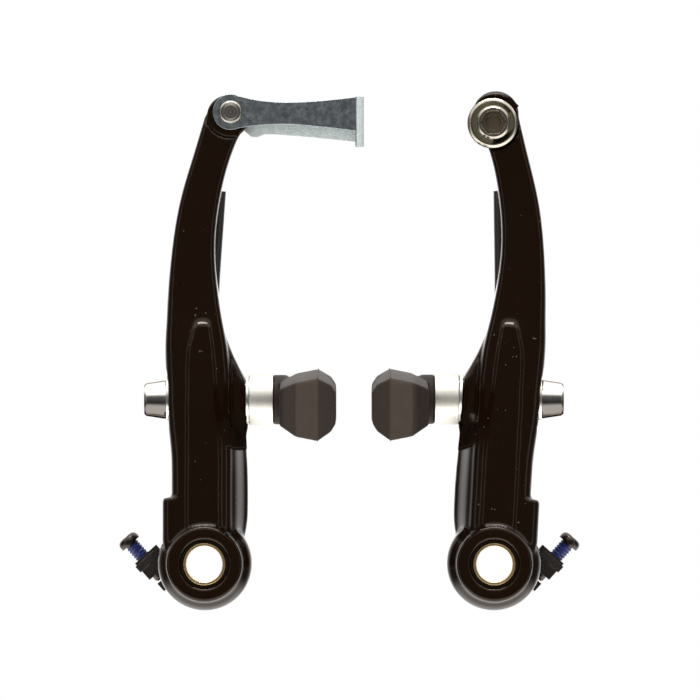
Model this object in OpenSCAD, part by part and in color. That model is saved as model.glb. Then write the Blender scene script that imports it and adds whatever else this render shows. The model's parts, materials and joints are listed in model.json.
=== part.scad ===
// Linear-pull rim brake: a pair of arms with pads, return springs, a cable link and an anchor.
// Millimetres. X runs from the left arm to the right one, Y to the back, where the fork's
// bosses stand, and Z is up. The origin is on the left boss axis, on the rear seat face.
// Each piece is drawn for the left arm, with +X towards the wheel, and mirrored for the right.

/* [Layout] */
// Distance between the two boss axes
boss_gap = 65; // [64:0.5:90]
// Outward lean of the right arm in degrees
right_lean = 3.2; // [0:0.1:4]

/* [Pivot] */
// Bore of the bush, which goes over an 8 mm boss
bush_bore_d = 8.08; // [8.02:0.02:8.2]
// Outer diameter of the bush
bush_d = 9.4; // [9:0.1:10]
// Depth of the pivot, from the rear seat to the front face
pivot_depth = 24; // [23:0.5:28]
// How far the bush ends behind the front face
bush_recess = 0.5; // [0.3:0.1:0.9]
// Wall of the bearing sleeve
sleeve_wall = 0.8; // [0.6:0.1:1.2]
// How far the sleeve ends behind the front face
sleeve_recess = 1.2; // [1:0.1:2]
// Radial running clearance of what turns on the bush
running_gap = 0.03; // [0.02:0.01:0.06]
// Diameter of the front boss
boss_d = 17.2; // [15.6:0.1:18]
// Height of the front boss over the housing's shoulder
boss_step = 3.6; // [2.6:0.1:4.6]
// Wall of the spring housing
housing_wall = 1.45; // [1.2:0.05:2]

/* [Arm] */
// Height of the link pin over the boss axis
pin_z = 101.5; // [98:0.5:110]
// Inward offset of the link pin from the boss axis
pin_x = 5.8; // [4:0.1:8]
// Sideways bow of the upper arm
arm_bow = 4.7; // [3:0.1:6.5]
// Radius of the round end
end_r = 5.2; // [5:0.1:5.8]
// Radius of the left arm's tang between the link's two sides
tang_r = 4.8; // [4.4:0.1:5]
// Thickness of the arm at its round end
end_t = 9.4; // [8.8:0.1:10.6]
// Distance of the arm's middle plane from the rear seat
mid_y = 13.2; // [13:0.1:14]
// Width of the upper arm at its waist
waist_w = 9.8; // [8.8:0.1:10.5]
// Width of the front rib at the pads
rib_w = 14.4; // [13.6:0.1:15.6]
// Depth of the arm at the pads
pad_depth = 15.2; // [15:0.1:15.8]
// Height of the raised panel on the front rib
panel_h = 0.9; // [0.3:0.1:1.4]
// Depth of the ear's front behind the rib's front
ear_step = 2.4; // [1.5:0.1:3.4]
// Thickness of the rear web under the ear
web_t = 6.8; // [5:0.2:9]
// Height of the stop shoulder on the web's outer side
stop_z = 14.9; // [13:0.1:16]
// Distance of that shoulder from the boss axis
stop_x = 9.5; // [9:0.1:10]

/* [Pad fixing] */
// Height of the pads over the boss axis
pad_z = 36.8; // [34:0.2:42]
// Distance from the boss axis to the arm's inner dome seat
ear_x = 9.2; // [8.8:0.1:10.2]
// Thickness of the arm between the two dome seats
seat_w = 13.1; // [12:0.1:13.8]
// Travel of the pad up or down in its slot
pad_travel = 3; // [1.5:0.1:3.4]
// Diameter of the threaded stud
stud_d = 6; // [5:0.1:6.2]
// Clearance of the stud in the slot, on each side
slot_gap = 0.3; // [0.1:0.05:0.5]
// Diameter of the domes
dome_d = 10.8; // [10:0.1:11]
// Height of a dome at its crown
dome_h = 2.45; // [2.4:0.05:3]
// Hole in a dome, wide enough for the stud to lean
dome_bore_d = 7.6; // [7.2:0.1:8]
// Clearance between a dome and its cup
ball_gap = 0.03; // [0.02:0.01:0.05]
// Distance from the arm to the rim of a cup
cup_gap = 0.75; // [0.7:0.05:1.1]
// Diameter of the inner cup
inner_cup_d = 11.4; // [11.2:0.1:12.4]
// Length of the inner cup
inner_cup_l = 5.35; // [4:0.05:8]
// Diameter of the outer cup and the flat washer
outer_cup_d = 10.8; // [10:0.1:11]
// Length of the outer cup
outer_cup_l = 3.25; // [2.8:0.05:4]
// Thickness of the flat washer
flat_t = 0.8; // [0.5:0.1:1.2]
// Diameter of the pad nut at the washer
nut_d = 8.6; // [8.2:0.1:10]
// Diameter of the pad nut at its tip
nut_tip_d = 6.8; // [6.4:0.1:7.6]
// Length of the pad nut
nut_l = 5; // [4.2:0.1:7]
// Width across flats of the nut's socket
nut_key = 4.6; // [4:0.1:5]
// Depth of the nut's socket
nut_key_depth = 2.2; // [1.5:0.1:2.6]

/* [Pad] */
// Length of the pad along the rim
pad_l = 70; // [55:1:75]
// Thickness of the pad, from the cup to the braking face
pad_t = 14.2; // [13.6:0.1:16]
// Height of the pad at its ridge
pad_h = 13.8; // [12:0.1:15]
// Height of the braking face
face_h = 7; // [5:0.1:9]
// Distance of the ridge behind the braking face
ridge_depth = 4; // [3:0.1:5]
// Length of the round neck behind the pad
neck_l = 1.7; // [1:0.1:2.5]
// Radius of the rim line that the pad follows
rim_r = 300; // [250:5:320]
// Width of a groove in the braking face
groove_w = 2; // [1:0.1:3]
// Depth of a groove in the braking face
groove_depth = 2.2; // [1:0.1:2.8]
// Thickness of the stud's plate inside the pad
plate_t = 1.5; // [1:0.1:2]

/* [Cable link] */
// Length of the link, from its pin to its end wall
link_l = 30; // [24:0.5:36]
// Thickness of the folded sheet
sheet_t = 1.15; // [0.9:0.05:1.4]
// Clearance between the link and the arm's tang
link_gap = 0.05; // [0.03:0.01:0.1]
// Radius of the link's eye
eye_r = 4; // [3.7:0.1:4.6]
// Width of the link's front side at its waist
link_waist = 4.9; // [4.2:0.1:6]
// Width of the link's front side at its end wall
link_end_h = 8; // [7:0.1:9.5]
// How much deeper the link's back side reaches
link_drop = 2.2; // [1:0.1:3]
// Hole for the tip of the cable's guide tube
key_hole_d = 5.4; // [4.4:0.1:6]
// Slot under that hole, for the cable
key_slot_w = 2.4; // [1.8:0.1:3.2]
// Diameter of the rivet's shank
rivet_d = 4; // [3.4:0.1:4.6]
// Diameter of the rivet's head
rivet_head_d = 5.2; // [5:0.1:6.4]
// Height of the rivet's head
rivet_head_h = 0.8; // [0.5:0.1:1.2]

/* [Cable anchor] */
// Distance of the anchor bolt below the centre of the round end
anchor_drop = 2.7; // [0:0.1:4]
// Diameter of the anchor bolt
anchor_d = 6; // [5:0.1:6]
// Diameter of the clamp washer
anchor_washer_d = 11.2; // [10.4:0.1:11.4]
// Thickness of the clamp washer
anchor_washer_t = 1.3; // [0.8:0.1:2]
// Diameter of the clamp plate
clamp_d = 11.4; // [11:0.1:11.8]
// Thickness of the clamp plate
clamp_t = 1.5; // [1.2:0.1:2]
// Depth of the milled seat under the clamp plate
clamp_seat = 1; // [0.6:0.1:1.4]
// Diameter of the bolt's head at the washer
anchor_head_d = 9.6; // [9:0.1:10.2]
// Diameter of the bolt's head at its top
anchor_top_d = 7; // [6.6:0.1:8]
// Height of the bolt's head
anchor_head_h = 5.2; // [4.4:0.1:6.5]
// Width across flats of the bolt's socket
anchor_key = 5; // [4:0.1:5.2]
// Depth of the bolt's socket
anchor_key_depth = 3; // [2:0.1:4]
// Diameter of the brake cable that is clamped
cable_d = 1.6; // [1.2:0.1:1.8]

/* [Return spring] */
// Diameter of the spring's wire
wire_d = 2; // [1.6:0.1:2.1]
// Turns of the coil
coil_turns = 3.25; // [2.25:1:3.25]
// Axial pitch of the coil
coil_pitch = 2.2; // [2.15:0.05:2.4]
// Radial clearance on both sides of the coil
coil_gap = 0.35; // [0.25:0.05:0.5]
// Wall of the hub inside the coil
hub_wall = 1.75; // [1.4:0.05:2]
// Height of the stud that the spring's leg bears on
spring_stud_z = 62; // [58:0.5:68]
// Diameter of that stud
spring_stud_d = 3; // [2.4:0.1:3.6]
// Diameter of the boot on the spring's leg
boot_d = 2.9; // [2.7:0.1:3.4]
// Height of the boot's lower end
boot_z = 57; // [52:0.5:60]
// Height of the tip of the spring's leg
leg_tip_z = 84; // [78:0.5:90]

/* [Spring holder and adjuster] */
// Thickness of the holder behind the housing
holder_t = 4.4; // [4.2:0.1:4.8]
// Running gap between the holder and the housing
holder_gap = 0.4; // [0.3:0.05:0.6]
// Thickness of the holder's rear plate
holder_plate_t = 0.9; // [0.7:0.1:1.2]
// Diameter of the pin that enters the fork's boss plate
boss_pin_d = 2.6; // [2:0.1:2.9]
// Length of that pin
boss_pin_l = 4; // [2:0.5:6]
// Distance of the square nut from the boss axis
nut_out = 13.4; // [13:0.1:15]
// Slope of the adjuster screw from the vertical, degrees
adjuster_slope = 42; // [38:1:46]
// Diameter of the adjuster screw
adjuster_d = 2.9; // [2.6:0.1:3.1]
// Clearance of the adjuster screw in its nut
thread_gap = 0.03; // [0.02:0.01:0.05]
// Diameter of the adjuster screw's head
adjuster_head_d = 5; // [4.6:0.1:5.6]
// Height of the adjuster screw's head
adjuster_head_h = 2; // [1.6:0.1:2.6]
// Visible length of thread between the block and the head
adjuster_out = 3.9; // [2.8:0.1:5]
// Width across flats of the square nut
square_nut_w = 5.5; // [5:0.1:6]
// Thickness of the square nut
square_nut_t = 1.8; // [1.4:0.1:2.2]
// Width of the holder's block across the screw
block_w = 4.6; // [4.2:0.1:5.2]

/* [Hidden] */

// Fineness of round parts, of wire and of the pad's long curve
$fn = 64;
wire_fn = 8;
rim_fn = 900;
ball_fn = 180;
// Reach of a cut past the face that it starts from, and of one that goes right through
past = 1;
through = 60;

// Pivot, counted forward from the rear seat as heights over the holder
bush_r = bush_d / 2;
turn_r = bush_r + running_gap;
sleeve_r = turn_r + sleeve_wall;
hub_r = turn_r + hub_wall;
coil_r = hub_r + coil_gap + wire_d / 2;
cavity_r = coil_r + wire_d / 2 + coil_gap;
housing_r = cavity_r + housing_wall;
housing_h = holder_t + holder_gap;
coil_h = housing_h + wire_d / 2 + 0.1;
coil_top_h = coil_h + coil_turns * coil_pitch;
cavity_h = coil_top_h + wire_d / 2 + coil_gap;
hub_h = cavity_h - coil_gap;
shoulder_r = 4;
edge_r = 0.8;

// Arm: places along it run from -1 at the boss axis over 0 at the pads to 1 at the link pin
end_place = 0.985;
end_x = pin_x - 0.6;
end_z = pin_z - 0.5;
foot_place = -0.9;
arm_steps = 26;
rib_mid = ear_x - 3.4 - rib_w / 2;
foot_mid = rib_mid + 0.7;
back_y = -(mid_y - pad_depth / 2);
rib_front = -(mid_y + pad_depth / 2);
// Place along the arm, width, depth
arm_sizes = [
    [-1, rib_w - 0.8, pad_depth], [-0.4, rib_w - 0.8, pad_depth], [0, rib_w, pad_depth],
    [0.17, rib_w - 0.3, pad_depth - 0.8], [0.31, (rib_w + waist_w) / 2, pad_depth - 2.6],
    [0.51, waist_w, end_t + 1.4], [0.7, waist_w - 0.9, end_t + 0.4], [0.85, waist_w - 1.2, end_t],
    [1, 2 * end_r - 0.6, end_t]
];
// Place along the arm, outer and inner edge of the raised panel from the middle, share of its height
panel_edges = [
    [-1, -2.95, 5.1, 1], [-0.5, -2.95, 5.1, 1], [-0.3, -2.8, 4.6, 1], [-0.15, -2.4, 4.2, 1],
    [0.03, -2.1, 3.5, 1], [0.16, -1.5, 3.4, 1], [0.24, 0, 3.1, 0.8], [0.275, 0.9, 2.8, 0.5],
    [0.29, 1.2, 2.4, 0], [1, 1.2, 2.4, 0]
];
// Height over the pads and inner edge of the ear
ear_edge = [
    [-9.8, ear_x - 3.2], [-7.8, ear_x], [0, ear_x], [4, ear_x], [5.2, ear_x - 0.45],
    [7.4, ear_x - 1.5], [10, ear_x - 2.75], [13.2, ear_x - 4], [16.6, ear_x - 5.1],
    [20.2, ear_x - 5.9]
];
panel_slope = 0.7;
web_root_x = rib_mid + rib_w / 2 + 0.3;
ear_back_x = 0;
ear_heights = [-9.8, -7.8, 0, 4, 5.2, 6.4, 7.4, 8.6, 10, 11.6, 13.2, 15, 16.6, 18.4, 20.2];

// Pad fixing, with the common centre of the domes as its own origin
slot_y = -mid_y;
seat_x = seat_w / 2;
ball_x = ear_x - seat_x;
ball_r = seat_x + dome_h;
cup_x = seat_x + cup_gap;
inner_end = cup_x + inner_cup_l;
outer_end = cup_x + outer_cup_l;
nut_x = outer_end + flat_t;
nut_end = nut_x + nut_l;
stud_end = nut_end - nut_key_depth - 0.1;
slot_half = pad_travel + 0.4;
pocket_r = outer_cup_d / 2 + 0.35;
pocket_half = pad_travel + 0.6;
ridge_x = inner_end + pad_t - ridge_depth;
face_x = inner_end + pad_t;
back_x = inner_end + neck_l;
plate_x = back_x + 2;
plate_h = 7;
plate_l = pad_l * 0.6;

// Link and anchor
tang_t = end_t - 2 * (sheet_t + link_gap);
mill_r = end_r + 0.7;
end_y = -(mid_y + end_t / 2);
eye_bore_r = rivet_d / 2 + running_gap;
wall_top = link_end_h * 0.44;
wall_low = link_end_h * 0.56 + link_drop + 1;
anchor_x = pin_x;
anchor_z = pin_z - anchor_drop;
clamp_y = end_y + clamp_seat;

// Spring leg
leg_y = back_y + wire_d / 2 + 0.25;
leg_x = 1.6;
leg_tip_x = 3;
spring_stud_x = leg_x - boot_d / 2 - spring_stud_d / 2 - 0.02;
spring_stud_in = 3;
hook_l = 2.1;
notch_w = wire_d + 1.2;
// The leg's route, from the coil's rear end up behind the arm
leg_points = [
    [coil_r, -coil_h, 0], [coil_r, -coil_h, 3], [coil_r - 0.3, -coil_h + 0.2, 7],
    [coil_r - 0.9, leg_y, 12], [coil_r - 2.4, leg_y, 18], [coil_r - 4.4, leg_y, 30],
    [leg_x + 0.6, leg_y, 44], [leg_x, leg_y, boot_z - 2], [leg_x, leg_y, spring_stud_z],
    [leg_tip_x, leg_y, leg_tip_z - 1.2]
];

// Adjuster, with the centre of the square nut as its own origin and the screw's head up
adjuster_y = -(holder_t / 2 + 0.1);
holder_r = housing_r - 0.55;
block_low = 3.5;
block_depth = holder_t - 0.5;
block_wall = square_nut_w / 2 - block_w / 2 + 1.4;
block_high = adjuster_out - 2.4;
head_base = block_high + adjuster_out;
tip_low = 5;
tip_gap = 0.3;
lug_w = 2.3;
lug_t = 2.8;
lug_y = -(holder_plate_t + 0.1);
window_low = tip_low + tip_gap + lug_w + 2.4;
boss_pin_x = holder_r - boss_pin_d;

black = "#15110f";
steel = "#c3c6c9";

// Curves through rows of [place, value, ...]: which row, its slope and the value in column k
function row(rows, t, i = 0) = (i >= len(rows) - 2 || t < rows[i + 1][0]) ? i : row(rows, t, i + 1);
function slope(rows, i, k) =
    let (a = max(i - 1, 0), b = min(i + 1, len(rows) - 1))
    (rows[b][k] - rows[a][k]) / (rows[b][0] - rows[a][0]);
function curve(rows, t, k = 1) =
    let (
        i = row(rows, t),
        h = rows[i + 1][0] - rows[i][0],
        s = min(max((t - rows[i][0]) / h, 0), 1)
    )
    (2 * s * s * s - 3 * s * s + 1) * rows[i][k] + (s * s * s - 2 * s * s + s) * h * slope(rows, i, k)
    + (3 * s * s - 2 * s * s * s) * rows[i + 1][k] + (s * s * s - s * s) * h * slope(rows, i + 1, k);

// Quarter or other arc from angle a over a sweep, in n steps
function arc(x, y, r, a, sweep, n) =
    [for (k = [0:n]) [x + r * cos(a + sweep * k / n), y + r * sin(a + sweep * k / n)]];

// Turns a profile drawn upwards so that it runs forward from the rear seat
module forward() rotate([90, 0, 0]) children();

// Puts a piece of the left side on the right side
module on_right() translate([boss_gap, 0, 0]) mirror([1, 0, 0]) children();

// Leans what belongs to an arm outwards about the boss axis
module leaning(lean) rotate([0, -lean, 0]) children();

// Solid through a list of sections, each a ring of points at its own height
module loft(rings) {
    n = len(rings[0]);
    last = len(rings) - 1;
    sides = [for (j = [0:last - 1], i = [0:n - 1], half = [0, 1])
        let (a = j * n + i, b = j * n + (i + 1) % n)
        half == 0 ? [a, a + n, b + n] : [a, b + n, b]];
    polyhedron(
        points = [for (ring = rings, p = ring) p],
        faces = concat([[for (i = [0:n - 1]) i]], sides, [[for (i = [n - 1:-1:0]) last * n + i]]),
        convexity = 6
    );
}

// Arm forging

function arm_height(t) = t < 0 ? pad_z * (1 + t) : pad_z + (pin_z - pad_z) * t;
function ease(s) = s * s * (3 - 2 * s);
function arm_middle(t) = t < 0
    ? rib_mid + (foot_mid - rib_mid) * ease(min(-t / 0.4, 1))
    : rib_mid + (end_x - rib_mid) * t - arm_bow * sin(180 * pow(t, 1.25));
function front_corner(t) = t < 0.1 ? 2.6 : max(2.6 - 2.2 * (t - 0.1), 1.6);

// Ring of the arm: back corners, outer front corner, raised panel, inner front corner
function arm_ring(t) =
    let (
        z = arm_height(t),
        outer = arm_middle(t) - curve(arm_sizes, t, 1) / 2,
        inner = arm_middle(t) + curve(arm_sizes, t, 1) / 2,
        front = -(mid_y + curve(arm_sizes, t, 2) / 2),
        back = -(mid_y - curve(arm_sizes, t, 2) / 2),
        r = front_corner(t),
        s = t < 0.1 ? 1 : min(1 + 2 * (t - 0.1), 1.6),
        left = arm_middle(t) + curve(panel_edges, t, 1),
        right = min(arm_middle(t) + curve(panel_edges, t, 2), inner - s - panel_slope - 0.2),
        top = front - panel_h * max(curve(panel_edges, t, 3), 0)
    )
    [for (p = concat(
        arc(inner - 1.4, back - 1.4, 1.4, 0, 90, 2),
        arc(outer + 1.4, back - 1.4, 1.4, 90, 90, 2),
        arc(outer + r, front + r, r, 180, 90, 4),
        [[left - panel_slope, front], [left, top], [right, top], [right + panel_slope, front]],
        arc(inner - s, front + s, s, 270, 90, 3)
    )) [p[0], p[1], z]];

module beam() {
    loft([for (k = [0:arm_steps]) arm_ring(foot_place + (end_place - foot_place) * k / arm_steps)]);
}

// Ear that carries the inner dome, blended into the rib above it
function ear_ring(h) =
    let (
        x = curve(ear_edge, h),
        rise = max((h - 4) / 16, 0),
        front = -(mid_y + pad_depth / 2 - ear_step - 2 * rise),
        back = back_y - 0.9 * rise,
        r = 1.4
    )
    [for (p = concat(
        arc(x - r, back - r, r, 0, 90, 3), [[ear_back_x, back], [ear_back_x, front]],
        arc(x - r, front + r, r, 270, 90, 3)
    )) [p[0], p[1], pad_z + h]];

module ear() loft([for (h = ear_heights) ear_ring(h)]);

// Inner web between the ear and the housing, which runs up to the rib's front in a hollow curve
web_edge = [
    [-housing_r * 0.3, ear_x - 1.9], [0, ear_x - 1.2], [housing_r * 0.47, ear_x - 0.5],
    [housing_r * 0.8, ear_x + 0.2], [stop_z - 2.4, ear_x + 0.45], [pad_z * 0.54, ear_x + 0.4],
    [pad_z - 8.5, ear_x]
];
web_heights = [for (k = [0:12]) web_edge[0][0] + (web_edge[6][0] - web_edge[0][0]) * k / 12];

function web_ring(z) =
    let (x = curve(web_edge, z), front = back_y - web_t, top = rib_front + 2.2)
    [for (p = concat(
        [[ear_back_x, top], [web_root_x, top]],
        [for (k = [1:4]) [
            web_root_x + (x - web_root_x) * k / 4, front + (top - front) * pow(1 - k / 4, 2)
        ]],
        arc(x - 1, back_y - 1, 1, 0, 90, 2), [[ear_back_x, back_y]]
    )) [p[0], p[1], z]];

// Stop shoulder on the outer side, flush with the rib's front
function stop_ring(z, x) =
    [for (p = concat(
        [[ear_back_x - 4, back_y], [x, back_y]], arc(x + 2.2, rib_front + 2.2, 2.2, 180, 90, 4),
        [[ear_back_x - 4, rib_front]]
    )) [p[0], p[1], z]];

module web() {
    loft([for (z = web_heights) web_ring(z)]);
    loft([
        stop_ring(0, -housing_r * 0.81), stop_ring(stop_z / 3, -stop_x),
        stop_ring(stop_z - 0.5, -stop_x), stop_ring(stop_z, 0.4 - stop_x)
    ]);
}

// Front boss over the spring housing, with a round shoulder
module pivot_body() {
    top = pivot_depth;
    shoulder = top - boss_step;
    forward() rotate_extrude() polygon(concat(
        [[0, housing_h], [housing_r - edge_r, housing_h], [housing_r, housing_h + edge_r]],
        arc(housing_r - shoulder_r, shoulder - shoulder_r, shoulder_r, 0, 62, 6),
        [[boss_d / 2, shoulder + 0.4]],
        arc(boss_d / 2 - edge_r, top - edge_r, edge_r, 0, 90, 4),
        [[0, top]]
    ));
}

module round_end() {
    r = 1.6;
    translate([end_x, end_y + end_t, end_z]) forward() rotate_extrude() polygon(concat(
        [[0, 0], [end_r - r / 2, 0], [end_r, r / 2]],
        arc(end_r - r, end_t - r, r, 0, 90, 5),
        [[0, end_t]]
    ));
}

// Slot with round ends along Z, cut through along X from x to x + l
module slot_cut(x, l, r, half) {
    translate([x, slot_y, pad_z]) {
        for (side = [-1, 1]) translate([0, 0, side * half]) rotate([0, 90, 0]) cylinder(r = r, h = l);
        translate([0, -r, -half]) cube([l, 2 * r, 2 * half]);
    }
}

module pivot_cuts() {
    forward() {
        translate([0, 0, -past]) cylinder(r = cavity_r, h = cavity_h + past);
        cylinder(r = sleeve_r, h = pivot_depth + past);
        translate([0, 0, pivot_depth - 0.3]) cylinder(r1 = sleeve_r, r2 = sleeve_r + 0.35, h = 0.35);
    }
    // Way out for the spring's leg
    leg_low = coil_r - wire_d / 2 - 0.6;
    translate([leg_low, back_y - 2.2, 2]) cube([wire_d + 1.2, 2.2 + past, 11]);
}

module spring_stud_hole() {
    translate([spring_stud_x, 0, spring_stud_z]) forward()
        cylinder(d = spring_stud_d, h = mid_y - pad_depth / 2 + 1.4 + spring_stud_in);
}

module forging() {
    difference() {
        union() {
            beam();
            ear();
            web();
            pivot_body();
            round_end();
        }
        pivot_cuts();
        slot_cut(ear_x - seat_w - past, 2 * seat_w, stud_d / 2 + slot_gap, slot_half);
        slot_cut(ear_x - 2 * seat_w, seat_w, pocket_r, pocket_half);
        spring_stud_hole();
    }
}

// Left arm: a thinner tang at the top, between the link's two sides
module left_arm() {
    side = (end_t - tang_t) / 2;
    color(black) difference() {
        forging();
        translate([end_x, 0, end_z - 0.4]) forward() linear_extrude(through) difference() {
            translate([-2 * end_r, 0]) square(4 * end_r);
            circle(r = tang_r);
        }
        translate([pin_x, 0, pin_z]) forward() {
            translate([0, 0, mid_y + tang_t / 2]) cylinder(r = mill_r, h = side + past);
            translate([0, 0, mid_y - end_t / 2 - past]) cylinder(r = mill_r, h = side + past);
            cylinder(d = rivet_d, h = through);
        }
    }
}

// Outline of the clamp plate, with its tab
module clamp_shape(grow) {
    circle(d = clamp_d + 2 * grow);
    rotate(132) translate([0, -1.4 - grow]) square([clamp_d / 2 + 1.2 + grow, 2.8 + 2 * grow]);
}

module at_anchor(h) translate([anchor_x, h, anchor_z]) forward() children();

// Right arm: a milled seat for the clamp plate and a hole for the anchor bolt
module right_arm() {
    color(black) on_right() leaning(right_lean) difference() {
        forging();
        at_anchor(clamp_y) linear_extrude(clamp_seat + 5) clamp_shape(0.3);
        at_anchor(0) cylinder(d = anchor_d, h = through);
    }
}

// Pivot pieces

module bush() {
    color("#c9a227") forward() difference() {
        cylinder(r = bush_r, h = pivot_depth - bush_recess);
        translate([0, 0, -past]) cylinder(d = bush_bore_d, h = pivot_depth + 2 * past);
    }
}

module sleeve() {
    color("#2a2622") forward() difference() {
        translate([0, 0, cavity_h]) cylinder(r = sleeve_r, h = pivot_depth - sleeve_recess - cavity_h);
        cylinder(r = turn_r, h = pivot_depth);
    }
}

// Spring holder and adjuster

module at_adjuster() translate([-nut_out, adjuster_y, 0]) rotate([0, -adjuster_slope, 0]) children();

module spring_holder() {
    color(black) difference() {
        union() {
            forward() cylinder(r = holder_r, h = holder_t);
            at_adjuster() translate([-block_w / 2, -block_depth / 2, -block_low])
                cube([block_w + block_wall, block_depth, block_low + block_high]);
            translate([boss_pin_x, boss_pin_l, 0]) forward() cylinder(d = boss_pin_d, h = boss_pin_l + past);
        }
        forward() {
            translate([0, 0, holder_plate_t]) cylinder(r = hub_r + 0.1, h = holder_t);
            translate([0, 0, -past]) cylinder(r = bush_r, h = holder_t);
        }
        // Window for the seat's lug, hole for the screw and pocket for the square nut
        at_adjuster() {
            translate([-3, -holder_t, -window_low])
                cube([nut_out - 2, holder_t - holder_plate_t - adjuster_y, window_low - block_low - 0.2]);
            translate([0, 0, -block_low - 4]) cylinder(d = adjuster_d + 0.4, h = 12);
            translate([-square_nut_w / 2 - past, -square_nut_w, -square_nut_t / 2])
                cube([square_nut_w + past, 2 * square_nut_w, square_nut_t]);
        }
    }
}

module spring_seat() {
    color("#2a2622") difference() {
        union() {
            translate([0, lug_y, 0]) forward() cylinder(r = hub_r, h = hub_h + lug_y);
            at_adjuster() translate([-1.6, lug_y - adjuster_y - lug_t, -tip_low - tip_gap - lug_w])
                cube([nut_out * cos(adjuster_slope) - 3, lug_t, lug_w]);
        }
        forward() translate([0, 0, -past]) cylinder(r = turn_r, h = pivot_depth);
        // Notch for the spring's short end
        forward() rotate(-360 * coil_turns) translate([0, -notch_w / 2, coil_top_h - wire_d / 2 - 0.1])
            cube([cavity_r, notch_w, pivot_depth]);
    }
}

module adjuster_nut() {
    w = square_nut_w;
    color("#26262a") at_adjuster() difference() {
        translate([-w / 2, -block_depth / 2, -square_nut_t / 2]) cube([w, block_depth, square_nut_t]);
        translate([0, 0, -past]) cylinder(d = adjuster_d + 2 * thread_gap, h = 2 * past);
    }
}

module adjuster_screw() {
    r = adjuster_head_d / 2;
    h = adjuster_head_h;
    color("#1b1b20") at_adjuster() difference() {
        union() {
            translate([0, 0, -tip_low]) cylinder(d1 = adjuster_d - 0.8, d2 = adjuster_d, h = 0.4);
            translate([0, 0, 0.4 - tip_low]) cylinder(d = adjuster_d, h = tip_low - 0.4 + head_base);
            translate([0, 0, head_base]) rotate_extrude() polygon(concat(
                [[0, 0], [r, 0]], arc(r - h * 0.6, h * 0.4, h * 0.6, 0, 90, 4), [[0, h]]
            ));
        }
        for (turn = [0, 90]) rotate(turn) translate([-1.5, -0.35, head_base + h - 1.1]) cube([3, 0.7, 2]);
    }
}

// Return spring: tube along a list of points, with a ring of wire_fn corners at each

function unit(v) = v / norm(v);
function tangent(path, i) = unit(path[min(i + 1, len(path) - 1)] - path[max(i - 1, 0)]);
function tube_ring(path, i, r) =
    let (d = tangent(path, i), u = unit(cross(d, [0, 1, 0.001])), v = cross(d, u))
    [for (k = [0:wire_fn - 1]) path[i] + r * (u * cos(360 * k / wire_fn) + v * sin(360 * k / wire_fn))];
module tube(path, r) loft([for (i = [0:len(path) - 1]) tube_ring(path, i, r)]);

// Point on the spring's leg at a share of its way, through its rows of points
leg_rows = [for (i = [0:len(leg_points) - 1]) [i, leg_points[i][0], leg_points[i][1], leg_points[i][2]]];
function leg_at(s) = [for (k = [1:3]) curve(leg_rows, s, k)];

coil_steps = 16;
coil_path = [for (k = [0:floor(coil_turns * coil_steps)])
    let (a = 360 * k / coil_steps, h = coil_h + coil_pitch * k / coil_steps)
    [coil_r * cos(a), -h, -coil_r * sin(a)]];
coil_last = coil_path[len(coil_path) - 1];
hook_path = [coil_last - unit([coil_last[0], 0, coil_last[2]]) * hook_l];
leg_path = [for (s = [len(leg_points) - 1:-0.5:0.5]) leg_at(s)];
spring_path = concat(leg_path, coil_path, hook_path);

module spring() {
    color(steel) tube(spring_path, wire_d / 2);
}

// Boot over the end of the leg
boot_path = [for (s = [len(leg_points) - 1:-0.5:len(leg_points) - 2.5]) leg_at(s)];
boot_tip = boot_path[0] + unit(boot_path[0] - boot_path[1]) * 1.2;

module spring_boot() {
    color("#1d1a18") difference() {
        tube(concat([boot_tip], boot_path), boot_d / 2);
        tube(boot_path, wire_d / 2);
    }
}

module spring_stud() {
    y = leg_y + boot_d / 2 + 0.15;
    color(steel) translate([spring_stud_x, y, spring_stud_z]) forward() {
        cylinder(d = spring_stud_d, h = y - back_y + 1.4 + spring_stud_in);
        translate([0, 0, -0.8]) cylinder(d = spring_stud_d + 1.6, h = 0.8);
    }
}

// Pad and its washers, drawn about the common centre of the domes, with +X to the wheel

// Carries a child to that centre: it follows the arm's lean, the child stays level
module at_ball(lean) {
    translate([
        ball_x * cos(lean) - pad_z * sin(lean), slot_y, ball_x * sin(lean) + pad_z * cos(lean)
    ]) children();
}

module inward() rotate([0, 90, 0]) children();

module dome() {
    intersection() {
        inward() difference() {
            translate([0, 0, seat_x]) cylinder(d = dome_d, h = dome_h);
            cylinder(d = dome_bore_d, h = ball_r);
        }
        sphere(r = ball_r, $fn = ball_fn);
    }
}

module cup(d, l) {
    difference() {
        inward() translate([0, 0, cup_x]) cylinder(d = d, h = l);
        inward() cylinder(d = stud_d, h = cup_x + l + past);
        sphere(r = ball_r + ball_gap, $fn = ball_fn);
    }
}

module inner_dome() color(steel) translate([ball_x, slot_y, pad_z]) dome();
module outer_dome() color(steel) translate([ball_x, slot_y, pad_z]) mirror([1, 0, 0]) dome();
module inner_cup() color("#b9bab8") cup(inner_cup_d, inner_cup_l);
module outer_cup() color(steel) mirror([1, 0, 0]) cup(outer_cup_d, outer_cup_l);

module flat_washer() {
    color(steel) mirror([1, 0, 0]) inward() difference() {
        translate([0, 0, outer_end]) cylinder(d = outer_cup_d, h = flat_t);
        cylinder(d = stud_d, h = nut_x + past);
    }
}

module pad_nut() {
    color("#d5d8dc") mirror([1, 0, 0]) inward() difference() {
        translate([0, 0, nut_x]) rotate_extrude() polygon([
            [0, 0], [nut_d / 2, 0], [nut_d / 2, 0.6], [nut_tip_d / 2 + 0.3, nut_l - 0.5],
            [nut_tip_d / 2 - 0.1, nut_l], [0, nut_l]
        ]);
        cylinder(d = stud_d, h = stud_end);
        translate([0, 0, stud_end]) cylinder(d = nut_key / cos(30), h = nut_l, $fn = 6);
    }
}

module stud_plate() translate([plate_x, -plate_l / 2, -plate_h / 2]) cube([plate_t, plate_l, plate_h]);

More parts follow.
